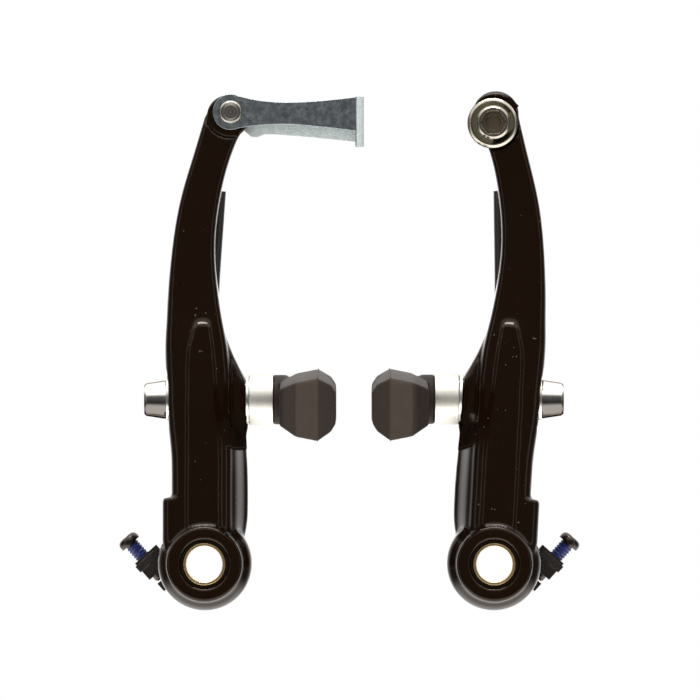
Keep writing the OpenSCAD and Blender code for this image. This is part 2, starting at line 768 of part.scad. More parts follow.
module pad_stud() {
    color("#8f9296") {
        stud_plate();
        translate([-stud_end, 0, 0]) inward() cylinder(d = stud_d, h = stud_end + plate_x + plate_t / 2);
    }
}

// Section of the pad: x towards the wheel and half height
pad_section = [
    [back_x, pad_h * 0.29], [back_x + 3.6, pad_h * 0.43], [ridge_x, pad_h / 2],
    [face_x - 1.1, face_h / 2 + 1.7], [face_x, face_h / 2]
];

// Ring of that section along the rim line
module pad_ring() {
    low = [for (k = [len(pad_section) - 1:-1:0]) [rim_r - pad_section[k][1], pad_section[k][0]]];
    high = [for (p = pad_section) [rim_r + p[1], p[0]]];
    translate([0, 0, -rim_r]) inward() rotate_extrude($fn = rim_fn) polygon(concat(high, low));
}

module pad() {
    half = pad_l / 2;
    color("#3d3835") difference() {
        union() {
            intersection() {
                pad_ring();
                // Plan of the pad, with its ends drawn in
                translate([0, 0, -pad_h]) linear_extrude(2 * pad_h) polygon([
                    [back_x - past, half - 5.6], [back_x + 3.6, half], [ridge_x, half],
                    [face_x + past, half - 4.6], [face_x + past, 4.6 - half], [ridge_x, -half],
                    [back_x + 3.6, -half], [back_x - past, 5.6 - half]
                ]);
            }
            translate([inner_end, 0, 0]) inward() cylinder(d = inner_cup_d - 0.2, h = neck_l + 1.5);
        }
        inward() cylinder(d = stud_d, h = plate_x + plate_t / 2);
        stud_plate();
        for (side = [-1, 1]) translate([face_x - groove_depth, side * pad_l * 0.2 - groove_w / 2, -pad_h])
            cube([groove_depth + past, groove_w, 2 * pad_h]);
    }
}

// Cable link, with the rivet's axis as its own origin

// Distance along the link, its top, the front side's lower edge, the back side's lower edge
link_edges = [
    [0, eye_r, -eye_r, -eye_r], [3, 3.3, -3.4, -eye_r], [5, 2.85, -3.1, -eye_r - 1.6],
    [7.5, 2.45, -2.9, -3 - link_drop + 0.4],
    [13, link_waist * 0.44, -link_waist * 0.56, -2.8 - link_drop],
    [20, 2.5, -3.3, -3.4 - link_drop],
    [link_l, wall_top, wall_top - link_end_h, wall_top - link_end_h - link_drop]
];

module link_side(k) {
    steps = [for (x = [0:1.5:link_l]) x];
    high = [for (x = steps) [x, curve(link_edges, x, 1)]];
    low = [for (i = [len(steps) - 1:-1:0]) [steps[i], curve(link_edges, steps[i], k)]];
    polygon(concat(high, [[link_l + past, wall_top], [link_l + past, curve(link_edges, link_l, k)]], low));
    circle(r = eye_r);
}

// Plan of the folded sheet: two sides and an end wall with round bends
module fold_shape(w, l, r) {
    translate([-2 * eye_r, -w / 2]) square([2 * eye_r + l - r, w]);
    translate([-2 * eye_r, -w / 2 + r]) square([2 * eye_r + l, w - 2 * r]);
    for (side = [-1, 1]) translate([l - r, side * (w / 2 - r)]) circle(r = r);
}

module fold(h) {
    translate([0, 0, -h]) linear_extrude(2 * h) difference() {
        fold_shape(end_t, link_l, sheet_t + 0.4);
        fold_shape(end_t - 2 * sheet_t, link_l - sheet_t, 0.4);
    }
}

module cable_link() {
    half = end_t / 2;
    color("#b4c0cc") translate([pin_x, -mid_y, pin_z]) difference() {
        intersection() {
            fold(4 * eye_r);
            union() {
                forward() linear_extrude(half) link_side(2);
                translate([0, half, 0]) forward() linear_extrude(half) link_side(3);
                translate([link_l - sheet_t - 0.8, -half, -wall_low])
                    cube([sheet_t + 2, end_t, wall_top + wall_low]);
            }
        }
        translate([0, through / 2, 0]) forward() cylinder(r = eye_bore_r, h = through);
        translate([link_l - 2 * sheet_t, 0, -1]) inward() cylinder(d = key_hole_d, h = 4 * sheet_t);
        translate([link_l - 2 * sheet_t, -key_slot_w / 2, -wall_low - past])
            cube([4 * sheet_t, key_slot_w, wall_low + past - 1]);
    }
}

module link_rivet() {
    half = end_t / 2 + link_gap;
    r = rivet_head_d / 2;
    color(steel) translate([pin_x, -mid_y, pin_z]) {
        translate([0, half + past, 0]) forward() translate([0, 0, past]) cylinder(d = rivet_d, h = 2 * half);
        for (side = [0, 1]) mirror([0, side, 0]) translate([0, -half, 0]) forward() rotate_extrude() polygon([
            [0, 0], [r, 0], [r, rivet_head_h * 0.5], [r - 0.35, rivet_head_h], [0, rivet_head_h]
        ]);
    }
}

// Cable anchor

module clamp_plate() {
    color(black) at_anchor(clamp_y) difference() {
        linear_extrude(clamp_t) clamp_shape(0);
        translate([0, 0, -past]) cylinder(d = anchor_d, h = clamp_t + 2 * past);
        // Groove that pinches the cable, which runs across above the bolt
        translate([-clamp_d, anchor_d / 2 + cable_d / 2 + 0.1, 0]) inward()
            cylinder(d = cable_d, h = 2 * clamp_d);
    }
}

module anchor_washer() {
    color("#cfd2d4") at_anchor(clamp_y - clamp_t) difference() {
        rotate_extrude() polygon([
            [anchor_d / 2, 0], [anchor_washer_d / 2, 0], [anchor_washer_d / 2, anchor_washer_t - 0.4],
            [anchor_washer_d / 2 - 0.6, anchor_washer_t], [anchor_d / 2, anchor_washer_t]
        ]);
    }
}

module anchor_bolt() {
    base = clamp_t + anchor_washer_t;
    tail = end_t - clamp_seat - 0.4;
    color("#d5d8dc") at_anchor(clamp_y) difference() {
        union() {
            translate([0, 0, -tail]) cylinder(d = anchor_d, h = tail + base + past);
            translate([0, 0, base]) rotate_extrude() polygon([
                [0, 0], [anchor_head_d / 2, 0], [anchor_head_d / 2, 1],
                [anchor_top_d / 2 + 0.3, anchor_head_h - 0.5], [anchor_top_d / 2 - 0.2, anchor_head_h],
                [0, anchor_head_h]
            ]);
        }
        translate([0, 0, base + anchor_head_h - anchor_key_depth])
            cylinder(d = anchor_key / cos(30), h = anchor_key_depth + past, $fn = 6);
        // Drilled centre under the socket
        translate([0, 0, base + anchor_head_h - anchor_key_depth - 1]) cylinder(d = anchor_key * 0.66, h = 2);
    }
}

left_arm();
bush();  // left_bush
sleeve();  // left_sleeve
spring_holder();  // left_spring_holder
spring_seat();  // left_spring_seat
adjuster_nut();  // left_adjuster_nut
adjuster_screw();  // left_adjuster_screw
spring();  // left_spring
spring_boot();  // left_spring_boot
spring_stud();  // left_spring_stud
at_ball(0) pad();  // left_pad
at_ball(0) pad_stud();  // left_pad_stud
inner_dome();  // left_inner_dome
at_ball(0) inner_cup();  // left_inner_cup
outer_dome();  // left_outer_dome
at_ball(0) outer_cup();  // left_outer_cup
at_ball(0) flat_washer();  // left_flat_washer
at_ball(0) pad_nut();  // left_pad_nut
cable_link();
link_rivet();
right_arm();
on_right() bush();  // right_bush
on_right() sleeve();  // right_sleeve
on_right() spring_holder();  // right_spring_holder
on_right() spring_seat();  // right_spring_seat
on_right() adjuster_nut();  // right_adjuster_nut
on_right() adjuster_screw();  // right_adjuster_screw
on_right() leaning(right_lean) spring();  // right_spring
on_right() leaning(right_lean) spring_boot();  // right_spring_boot
on_right() leaning(right_lean) spring_stud();  // right_spring_stud
on_right() at_ball(right_lean) pad();  // right_pad
on_right() at_ball(right_lean) pad_stud();  // right_pad_stud
on_right() leaning(right_lean) inner_dome();  // right_inner_dome
on_right() at_ball(right_lean) inner_cup();  // right_inner_cup
on_right() leaning(right_lean) outer_dome();  // right_outer_dome
on_right() at_ball(right_lean) outer_cup();  // right_outer_cup
on_right() at_ball(right_lean) flat_washer();  // right_flat_washer
on_right() at_ball(right_lean) pad_nut();  // right_pad_nut
on_right() leaning(right_lean) anchor_bolt();
on_right() leaning(right_lean) anchor_washer();
on_right() leaning(right_lean) clamp_plate();
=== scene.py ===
# V-brake arms on their pivots, seen from the front. Lengths in part sections are millimetres
# and are scaled to metres in the meshes.
import json
import math

import bmesh
import bpy
from mathutils import Matrix, Vector

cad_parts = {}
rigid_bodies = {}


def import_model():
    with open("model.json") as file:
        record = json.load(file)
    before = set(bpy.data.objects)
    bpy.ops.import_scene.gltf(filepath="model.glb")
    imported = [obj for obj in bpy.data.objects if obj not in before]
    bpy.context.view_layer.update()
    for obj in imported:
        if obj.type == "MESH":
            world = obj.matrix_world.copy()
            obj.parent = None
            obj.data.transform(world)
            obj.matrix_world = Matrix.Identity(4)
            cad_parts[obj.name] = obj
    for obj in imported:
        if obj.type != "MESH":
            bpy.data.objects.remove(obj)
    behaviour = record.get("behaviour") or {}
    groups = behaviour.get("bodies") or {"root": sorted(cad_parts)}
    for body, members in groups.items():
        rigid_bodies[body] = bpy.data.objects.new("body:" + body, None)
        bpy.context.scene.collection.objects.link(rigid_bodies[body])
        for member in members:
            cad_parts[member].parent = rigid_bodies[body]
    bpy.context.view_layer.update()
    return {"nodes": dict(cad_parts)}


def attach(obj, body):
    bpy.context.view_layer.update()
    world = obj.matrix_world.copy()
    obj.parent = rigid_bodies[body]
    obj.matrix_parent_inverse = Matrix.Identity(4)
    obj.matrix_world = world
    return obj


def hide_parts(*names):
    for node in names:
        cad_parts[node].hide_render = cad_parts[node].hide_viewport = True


# Frame and camera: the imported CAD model, and a long lens that looks straight at the front.
# The view's width is measured at the pads' middle plane.
view_mm, distance_mm, pad_plane = 157.8, 1600, -13.2
for old in list(bpy.data.objects):
    bpy.data.objects.remove(old)
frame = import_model()
nodes = frame["nodes"]
scene = bpy.context.scene
lens = bpy.data.cameras.new("lens")
lens.sensor_width = 36
lens.lens = lens.sensor_width * distance_mm / view_mm
lens.clip_end = 10
camera = bpy.data.objects.new("camera", lens)
camera.location = (0.03264, (pad_plane - distance_mm) / 1000, 0.048)
camera.rotation_euler = (math.radians(90), 0, 0)
scene.collection.objects.link(camera)
bpy.context.scene.camera = camera
scene.view_settings.view_transform = "Standard"


# Light tent: white behind and above the part, dim in front of it, so that dark gloss stays dark.
# The floor is pale and plain, and goes over into the white background at its rim.
class Level:
    """A value in a node tree, which takes part in Python arithmetic."""

    def __init__(self, graph, socket):
        self.graph, self.socket = graph, socket

    def __add__(self, other):
        return self.graph.maths("ADD", self, other)

    def __radd__(self, other):
        return self.graph.maths("ADD", other, self)

    def __sub__(self, other):
        return self.graph.maths("SUBTRACT", self, other)

    def __rsub__(self, other):
        return self.graph.maths("SUBTRACT", other, self)

    def __mul__(self, other):
        return self.graph.maths("MULTIPLY", self, other)

    def __rmul__(self, other):
        return self.graph.maths("MULTIPLY", other, self)

    def __pow__(self, other):
        return self.graph.maths("POWER", self, other)

    def __abs__(self):
        return self.graph.maths("ABSOLUTE", self)


class Graph:
    """Adds nodes to a shader or geometry tree and links them."""

    def __init__(self, tree):
        self.tree = tree
        tree.nodes.clear()

    def add(self, kind, settings=None, values=None, out=0):
        node = self.tree.nodes.new(kind)
        for name, value in (settings or {}).items():
            setattr(node, name, value)
        for name, value in (values or {}).items():
            self.put(node.inputs[name], value)
        return Level(self, node.outputs[out]) if len(node.outputs) else node

    def put(self, socket, value):
        if isinstance(value, Level):
            self.tree.links.new(value.socket, socket)
        else:
            socket.default_value = value

    def maths(self, kind, *terms):
        return self.add("ShaderNodeMath", {"operation": kind}, dict(enumerate(terms)))

    def ramp(self, level, low, high, start=0.0, end=1.0):
        """Start below low, end above high, and a smooth change between them."""
        return self.add(
            "ShaderNodeMapRange",
            {"interpolation_type": "SMOOTHSTEP"},
            {"Value": level, "From Min": low, "From Max": high, "To Min": start, "To Max": end},
        )

    def mix(self, level, a, b):
        """Colour a at level 0 and colour b at level 1."""
        return self.add("ShaderNodeMix", {"data_type": "RGBA"}, {0: level, 6: a, 7: b}, out=2)

    def part(self, vector, axis):
        return self.add("ShaderNodeSeparateXYZ", {}, {0: vector}, out=axis)


def colour(red, green, blue):
    """Linear colour of sRGB values from 0 to 255."""
    shares = [value / 255 for value in (red, green, blue)]
    return [s / 12.92 if s <= 0.04045 else ((s + 0.055) / 1.055) ** 2.4 for s in shares] + [1]


world = bpy.data.worlds.new("tent")
scene.world = world
world.use_nodes = True
tent = Graph(world.node_tree)
heading = tent.add("ShaderNodeTexCoord", out="Generated")
aside, backwards, upwards = (tent.part(heading, axis) for axis in range(3))
aside = abs(aside)
behind = tent.ramp(backwards, 0.25, 0.95)
above = tent.ramp(upwards, 0.3, 0.7, 0, 2.0)
below = tent.ramp(upwards, -0.7, -0.35, 3.4, 0)
# Two narrow upright strips, one on each side, draw the edges of the arms.
strips = tent.ramp(aside, 0.74, 0.8) * tent.ramp(aside, 0.86, 0.92, 1.0, 0)
in_front = 0.17 + above + below + 1.3 * strips * tent.ramp(backwards, -0.2, 0, 1.0, 0)
mirrored = in_front + behind * (1.6 - in_front)
seen = tent.add("ShaderNodeLightPath", out="Is Camera Ray")
clear = tent.add("ShaderNodeLightPath", out="Is Transmission Ray")
shine = tent.add("ShaderNodeLightPath", out="Is Glossy Ray")
plain = tent.maths("MAXIMUM", seen, clear)
strength = plain + (1 - plain) * (shine * mirrored + (1 - shine) * 0.45)
back = tent.add("ShaderNodeBackground", {}, {"Color": (1, 1, 1, 1), "Strength": strength})
tent.add("ShaderNodeOutputWorld", {}, {"Surface": back})

for name, place, size, power, mirrors in (
    ("top_light", (0.03, -0.12, 0.7), (0.6, 0.08), 4.2, True),
    ("front_light", (-0.15, -1.3, 0.4), (0.8, 0.6), 9, False),
    ("side_light", (0.8, -0.6, 0.2), (0.4, 0.4), 0.8, False),
):
    lamp = bpy.data.lights.new(name, "AREA")
    lamp.shape = "RECTANGLE"
    lamp.size, lamp.size_y = size
    lamp.energy = power
    light = bpy.data.objects.new(name, lamp)
    light.location = place
    light.visible_glossy = mirrors
    aim = Vector((0.0325, -0.013, 0.045)) - Vector(place)
    light.rotation_euler = aim.to_track_quat("-Z", "Y").to_euler()
    scene.collection.objects.link(light)

floor_mesh = bpy.data.meshes.new("floor")
floor_z = -0.06
floor_mesh.from_pydata(
    [(x, y, floor_z) for x, y in ((-0.35, -0.35), (0.4, -0.35), (0.4, 0.35), (-0.35, 0.35))],
    [],
    [(0, 1, 2, 3)],
)
floor = bpy.data.objects.new("floor", floor_mesh)
scene.collection.objects.link(floor)
ground = bpy.data.materials.new("floor_paper")
ground.use_nodes = True
paper = Graph(ground.node_tree)
spot = paper.add("ShaderNodeTexCoord", out="Object")
middle = paper.add(
    "ShaderNodeVectorMath", {"operation": "DISTANCE"}, {0: spot, 1: (0.03, 0, floor_z)}, "Value"
)
rim = paper.ramp(middle, 0.12, 0.33) * paper.add("ShaderNodeLightPath", out="Is Camera Ray")
card = paper.add("ShaderNodeBsdfDiffuse", {}, {"Color": (0.8, 0.8, 0.8, 1)})
glow = paper.add("ShaderNodeEmission", {}, {"Color": (1, 1, 1, 1)})
cover = paper.add("ShaderNodeMixShader", {}, {0: rim, 1: card, 2: glow})
paper.add("ShaderNodeOutputMaterial", {}, {"Surface": cover})
floor_mesh.materials.append(ground)
floor.visible_glossy = False


# Arms: two aluminium forgings in gloss black paint. Each is lofted, turned and cut from the
# CAD source's sections, with the ear's foot run into the web. A voxel remesh and a smoothing
# round the edges.
class Finish(Graph):
    """A material with one Principled shader, which works in object coordinates in millimetres."""

    def __init__(self, name, **values):
        self.material = bpy.data.materials.new(name)
        self.material.use_nodes = True
        super().__init__(self.material.node_tree)
        self.shader = self.tree.nodes.new("ShaderNodeBsdfPrincipled")
        surface = Level(self, self.shader.outputs[0])
        self.add("ShaderNodeOutputMaterial", {}, {"Surface": surface})
        bare = self.add("ShaderNodeTexCoord", out="Object")
        self.spot = self.add(
            "ShaderNodeVectorMath", {"operation": "SCALE"}, {0: bare, "Scale": 1000}
        )
        self.set(**values)

    def set(self, **values):
        for name, value in values.items():
            self.put(self.shader.inputs[name.replace("_", " ")], value)

    def noise(self, size, detail=2.0):
        """Noise from 0 to 1 with features of that size in millimetres."""
        values = {"Vector": self.spot, "Scale": 1 / size, "Detail": detail}
        return self.add("ShaderNodeTexNoise", {}, values)

    def facing(self, axis):
        """How far the surface faces along that axis of the object."""
        return self.part(self.add("ShaderNodeNewGeometry", out="Normal"), axis)

    def from_side(self):
        """X from the nearer boss axis towards the other arm, the same on left and right."""
        return half_span - abs(self.part(self.spot, 0) - half_span)

    def reach(self, a, b):
        """Distance from an axis, for the two places across it."""
        return (a * a + b * b) ** 0.5

    def bump(self, height, depth, **values):
        """Relief of that depth in millimetres for a height from 0 to 1."""
        values |= {"Height": height, "Distance": depth / 1000}
        self.set(Normal=self.add("ShaderNodeBump", {}, values))


def row_of(rows, t):
    i = 0
    while i < len(rows) - 2 and t >= rows[i + 1][0]:
        i += 1
    return i


def slope(rows, i, k):
    a, b = max(i - 1, 0), min(i + 1, len(rows) - 1)
    return (rows[b][k] - rows[a][k]) / (rows[b][0] - rows[a][0])


def curve(rows, t, k=1):
    """Smooth curve through rows of (place, values...), read at place t in column k."""
    i = row_of(rows, t)
    h = rows[i + 1][0] - rows[i][0]
    s = min(max((t - rows[i][0]) / h, 0), 1)
    return (
        (2 * s**3 - 3 * s**2 + 1) * rows[i][k]
        + (s**3 - 2 * s**2 + s) * h * slope(rows, i, k)
        + (3 * s**2 - 2 * s**3) * rows[i + 1][k]
        + (s**3 - s**2) * h * slope(rows, i + 1, k)
    )


def arc(x, y, r, start, sweep, steps):
    angles = [math.radians(start + sweep * k / steps) for k in range(steps + 1)]
    return [(x + r * math.cos(a), y + r * math.sin(a)) for a in angles]


def shell(mesh, rings, place=Matrix(), hollow=False):
    """Adds a closed solid through rings of points, in millimetres, moved by place."""
    rows = [[mesh.verts.new(place @ Vector(p) * 0.001) for p in ring] for ring in rings]
    count = len(rows[0])
    if hollow:
        faces, rows = [], rows + rows[:1]
    else:
        faces = [mesh.faces.new(rows[0]), mesh.faces.new(rows[-1])]
    for low, high in zip(rows, rows[1:]):
        for i in range(count):
            j = (i + 1) % count
            faces.append(mesh.faces.new((low[i], low[j], high[j], high[i])))
    bmesh.ops.recalc_face_normals(mesh, faces=faces)


def hoop(x, depth, z, r):
    """Circle about the Y axis, at that depth forward of the rear seat."""
    sides = 96
    return [(a, -depth, b) for a, b in arc(x, z, r, 0, 360 * (1 - 1 / sides), sides - 1)]


def make(name, mesh):
    """Object of a bmesh in metres."""
    data = bpy.data.meshes.new(name)
    mesh.to_mesh(data)
    mesh.free()
    piece = bpy.data.objects.new(name, data)
    scene.collection.objects.link(piece)
    return piece


def settle(piece):
    """Turns the piece's modifiers into a plain mesh."""
    ready = piece.evaluated_get(bpy.context.evaluated_depsgraph_get())
    plain_mesh = bpy.data.meshes.new_from_object(ready)
    plain_mesh.name = piece.name
    piece.modifiers.clear()
    piece.data = plain_mesh
    return piece


half_span, pad_z, pin_x, pin_z, mid_y = 32.5, 36.8, 5.8, 101.5, -pad_plane
pad_depth, rib_w, ear_x, seat_w = 15.2, 14.4, 9.2, 13.1
end_t, end_r, end_x, end_z = 9.4, 5.2, pin_x - 0.6, pin_z - 0.5
coil_room_r, liner_seat_r, clamp_z, clamp_y = 9.18, 5.53, 98.8, 16.9
rib_mid = ear_x - 3.4 - rib_w / 2
back_y, rib_front = pad_depth / 2 - mid_y, -pad_depth / 2 - mid_y
# Shares of the way from the pad down to the boss (-1) or up to the pin (1), each with the arm's
# width and depth there, and then with the raised panel's left edge, right edge and height.
arm_sizes = [
    (-1, 13.6, 15.2), (-0.4, 13.6, 15.2), (0, 14.4, 15.2), (0.17, 14.1, 14.4), (0.31, 12.1, 12.6),
    (0.51, 9.8, 10.8), (0.7, 8.9, 9.8), (0.85, 8.6, 9.4), (1, 9.8, 9.4),
]
panel_edges = [
    (-1, -2.95, 5.1, 1), (-0.5, -2.95, 5.1, 1), (-0.3, -2.8, 4.6, 1), (-0.15, -2.4, 4.2, 1),
    (0.03, -2.1, 3.5, 1), (0.16, -1.5, 3.4, 1), (0.24, 0, 3.1, 1), (0.262, 0.6, 2.9, 1),
    (0.276, 1, 2.6, 0), (0.29, 1.2, 2.4, 0), (1, 1.2, 2.4, 0),
]
# Heights over the pad's axis, and over the boss's axis, with the inner edge there.
ear_edge = [
    (-9.8, 6), (-7.8, 9.2), (0, 9.2), (4, 9.2), (5.2, 8.75), (7.4, 7.7), (10, 6.45),
    (13.2, 5.2), (16.6, 4.1), (20.2, 3.3),
]
web_edge = [
    (-3.2, 7.3), (0, 8), (5, 8.7), (8.5, 9.4), (12.5, 9.65), (19.9, 9.6), (28.3, 9.2),
    (30.3, 9.1),
]


def arm_middle(t):
    if t < 0:
        s = min(-t / 0.4, 1)
        return rib_mid + 0.7 * s * s * (3 - 2 * s)
    return rib_mid + (end_x - rib_mid) * t - 4.7 * math.sin(math.pi * t**1.25)


def arm_ring(t):
    z = pad_z * (1 + t) if t < 0 else pad_z + (pin_z - pad_z) * t
    width, depth = curve(arm_sizes, t, 1), curve(arm_sizes, t, 2)
    outer, inner = arm_middle(t) - width / 2, arm_middle(t) + width / 2
    front, rear = -(mid_y + depth / 2), -(mid_y - depth / 2)
    r = 2.6 if t < 0.1 else max(2.6 - 2.2 * (t - 0.1), 1.6)
    s = 2.2 if t < 0.1 else max(2.2 - 2 * (t - 0.1), 1.6)
    left = arm_middle(t) + curve(panel_edges, t, 1)
    right = min(arm_middle(t) + curve(panel_edges, t, 2), inner - s - 0.8)
    top = front - 0.9 * max(curve(panel_edges, t, 3), 0)
    ring = arc(inner - 1.4, rear - 1.4, 1.4, 0, 90, 6)
    ring += arc(outer + 1.4, rear - 1.4, 1.4, 90, 90, 6)
    ring += arc(outer + r, front + r, r, 180, 90, 10)
    ring += [(left - 0.7, front), (left, top), (right, top), (right + 0.7, front)]
    ring += arc(inner - s, front + s, s, 270, 90, 8)
    return [(x, y, z) for x, y in ring]


def web_ring(z):
    root = rib_mid + rib_w / 2 + 0.3
    x, front, top = curve(web_edge, z), back_y - 6.8, rib_front + 2.2
    ring = [(0, top), (root, top)]
    for k in range(1, 13):
        s = k / 12
        ring.append((root + (x - root) * s, top + (front - top) * s**2 * (3 - 2 * s)))
    return [(a, y, z) for a, y in ring + arc(x - 1, back_y - 1, 1, 0, 90, 4) + [(0, back_y)]]


def stop_ring(z, x):
    ring = [(-4, back_y), (x, back_y)] + arc(x + 2.2, rib_front + 2.2, 2.2, 180, 90, 8)
    return [(a, y, z) for a, y in ring + [(-4, rib_front)]]


def ear_ring(h):
    x = curve(ear_edge, h)
    rise, fall = max((h - 4) / 16, 0), min(max((-3 - h) / 6.8, 0), 1)
    front = rib_front + 2.4 + 2 * rise + 6.2 * fall * fall * (3 - 2 * fall)
    rear = back_y - 0.9 * rise
    ring = arc(x - 1.4, rear - 1.4, 1.4, 0, 90, 6) + [(0, rear), (0, front)]
    ring += arc(x - 1.4, front + 1.4, 1.4, 270, 90, 6)
    return [(a, y, pad_z + h) for a, y in ring]


def forging(mesh, place):
    shell(mesh, [arm_ring(-0.9 + 1.885 * k / 240) for k in range(241)], place)
    shell(mesh, [ear_ring(-9.8 + k * 0.5) for k in range(61)], place)
    shell(mesh, [web_ring(-3.2 + 33.5 * k / 50) for k in range(51)], place)
    stop = [(0, -8.6), (5, -9.5), (14.4, -9.5), (14.9, -9.1)]
    shell(mesh, [stop_ring(z, x) for z, x in stop], place)
    body = [(0.01, 4.8), (9.83, 4.8), (10.63, 5.6)] + arc(6.63, 16.4, 4, 0, 62, 10)
    body += [(8.6, 20.8)] + arc(7.8, 23.2, 0.8, 0, 90, 6) + [(0.01, 24)]
    shell(mesh, [hoop(0, h, 0, r) for r, h in body], place)
    end = [(0.01, 0), (end_r - 0.8, 0), (end_r, 0.8)]
    end += arc(end_r - 1.6, end_t - 1.6, 1.6, 0, 90, 6) + [(0.01, end_t)]
    start = mid_y - end_t / 2
    shell(mesh, [hoop(end_x, start + h, end_z, r) for r, h in end], place)


def cutter(rings, place):
    mesh = bmesh.new()
    shell(mesh, rings, place)
    return make("cutter", mesh)


def pad_slot(x, length, r, half):
    """Slot for the pad's stud from x on, with its round ends above and below."""
    ring = arc(-mid_y, pad_z + half, r, 0, 180, 24) + arc(-mid_y, pad_z - half, r, 180, 180, 24)
    return [[(a, y, z) for y, z in ring] for a in (x, x + length)]


def box_rings(low, high):
    (a, b, c), (d, e, f) = low, high
    return [[(x, b, c), (x, e, c), (x, e, f), (x, b, f)] for x in (a, d)]


paint = Finish("arm_paint")
specks = paint.ramp(paint.noise(0.6, 0), 0.83, 0.85) * paint.ramp(paint.noise(14), 0.45, 0.6)
paint.set(
    Base_Color=paint.mix(specks * 0.4, colour(19, 9, 3), colour(150, 142, 132)),
    Roughness=0.1 + 0.08 * paint.noise(9) + 0.3 * specks,
    Specular_Tint=colour(176, 160, 146),
)
# The ear's foot is shaded as if it faced the front, so that its small step mirrors no floor.
foot_x, foot_z = 7.9, 30
foot = paint.reach(paint.from_side() - foot_x, paint.part(paint.spot, 2) - foot_z)
share = 4 * paint.ramp(foot, 2.8, 4.8, 1.0, 0.0)
push = paint.add("ShaderNodeVectorMath", {"operation": "SCALE"}, {0: (0, -1, 0), "Scale": share})
own = paint.add("ShaderNodeNewGeometry", out="Normal")
bent = paint.add("ShaderNodeVectorMath", {"operation": "ADD"}, {0: own, 1: push})
even = paint.add("ShaderNodeVectorMath", {"operation": "NORMALIZE"}, {0: bent})
paint.bump(paint.noise(1.8, 1), 0.006, Normal=even)
left_place = Matrix()
lean = Matrix.Rotation(math.radians(-3.2), 4, "Y")
right_place = Matrix.Translation((2 * half_span, 0, 0)) @ Matrix.Diagonal((-1, 1, 1, 1)) @ lean
both_places = (("left", left_place), ("right", right_place))
for side, place in both_places:
    raw = bmesh.new()
    forging(raw, place)
    arm = make(side + "_forging", raw)
    cuts = [
        cutter([hoop(0, h, 0, coil_room_r) for h in (-2, 14.4)], place),
        cutter([hoop(0, h, 0, liner_seat_r) for h in (-3, 26)], place),
        cutter(box_rings((6.23, back_y - 2.2, 2), (9.43, back_y + 2, 13)), place),
        cutter(pad_slot(ear_x - seat_w - 1, seat_w + 4, 3.3, 3.4), place),
        cutter(pad_slot(ear_x - seat_w - 12, 12, 5.75, 3.6), place),
    ]
    if side == "left":
        for low, high in ((mid_y + 3.5, mid_y + 8), (mid_y - 8, mid_y - 3.5)):
            cuts.append(cutter([hoop(pin_x, h, pin_z, 5.9) for h in (low, high)], place))
        crown = [(-9, 0), (-9, 9), (9, 9), (9, 0)] + arc(0, 0, 4.8, 0, 180, 48)
        around = [[(end_x + x, y, end_z - 0.4 + z) for x, z in crown] for y in (0, -30)]
        cuts.append(cutter(around, place))
    else:
        tab = [(1.6, 6.9), (-1.6, 6.9), (-1.6, 4), (1.6, 4)]
        cosine, sine = math.cos(math.radians(132)), math.sin(math.radians(132))
        corners = [
            (pin_x + b * cosine - a * sine, clamp_z + b * sine + a * cosine) for a, b in tab
        ]
        cuts.append(cutter([[(x, -h, z) for x, z in corners] for h in (clamp_y, 24)], place))
        cuts.append(cutter([hoop(pin_x, h, clamp_z, 6) for h in (clamp_y, 24)], place))
    remesh = arm.modifiers.new("join", "REMESH")
    remesh.mode = "VOXEL"
    remesh.voxel_size = 0.00034
    for cut in cuts:
        boolean = arm.modifiers.new("cut", "BOOLEAN")
        boolean.operation = "DIFFERENCE"
        boolean.solver = "MANIFOLD"
        boolean.object = cut
    again = arm.modifiers.new("blend", "REMESH")
    again.mode = "VOXEL"
    again.voxel_size = 0.00035
    smooth = arm.modifiers.new("smooth", "SMOOTH")
    smooth.factor = 0.5
    smooth.iterations = 9
    settle(arm)
    for cut in cuts:
        bpy.data.objects.remove(cut)
    arm.data.shade_smooth()
    arm.data.materials.clear()
    arm.data.materials.append(paint.material)
    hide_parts(side + "_arm")
    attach(arm, side + "_lever")


# Bushes and liners: a turned brass tube per side, its bore painted pale as a painted reflection,
# in a black moulded liner.
# Both are turned from a profile with rounded corners about the boss axis.
def turned(name, rows, place, finish, body, hollow=True, edge=0.12):
    """Replaces a node by a profile turned about the X axis: rows of radius, place and, for a
    hexagon of that half width, a 1."""
    count = len(rows)
    profile = []
    for i, row in enumerate(rows):
        here = Vector((row + (0,))[:3])
        if not hollow and i in (0, count - 1):
            profile.append(here)
            continue
        before = Vector((rows[i - 1] + (0,))[:3]) - here
        after = Vector((rows[(i + 1) % count] + (0,))[:3]) - here
        start = before * min(edge / before.length, 0.45)
        end = after * min(edge / after.length, 0.45)
        for k in range(5):
            u = k / 4
            profile.append(here + start * (1 - u) ** 2 + end * u * u)
    rings = []
    for r, h, sides in profile:
        ring = []
        for k in range(96):
            flat = math.radians((k * 3.75 + 30) % 60 - 30)
            reach = r * (1 + sides * (1 / math.cos(flat) - 1))
            angle = math.radians(k * 3.75)
            ring.append((h, reach * math.cos(angle), reach * math.sin(angle)))
        rings.append(ring)
    mesh = bmesh.new()
    shell(mesh, rings, place, hollow)
    piece = make(name + "_turned", mesh)
    piece.data.shade_smooth()
    piece.data.set_sharp_from_angle(angle=math.radians(35))
    piece.data.materials.append(finish.material)
    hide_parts(name)
    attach(piece, body)
    return piece


def coat(name, finish):
    """Gives a CAD node a finish and joins its faces."""
    piece = nodes[name]
    piece.data.materials.clear()
    piece.data.materials.append(finish.material)
    if "custom_normal" in piece.data.attributes:
        piece.data.attributes.remove(piece.data.attributes["custom_normal"])
    piece.data.shade_smooth()
    weld = piece.modifiers.new("weld", "WELD")
    weld.merge_threshold = 2e-6
    return piece


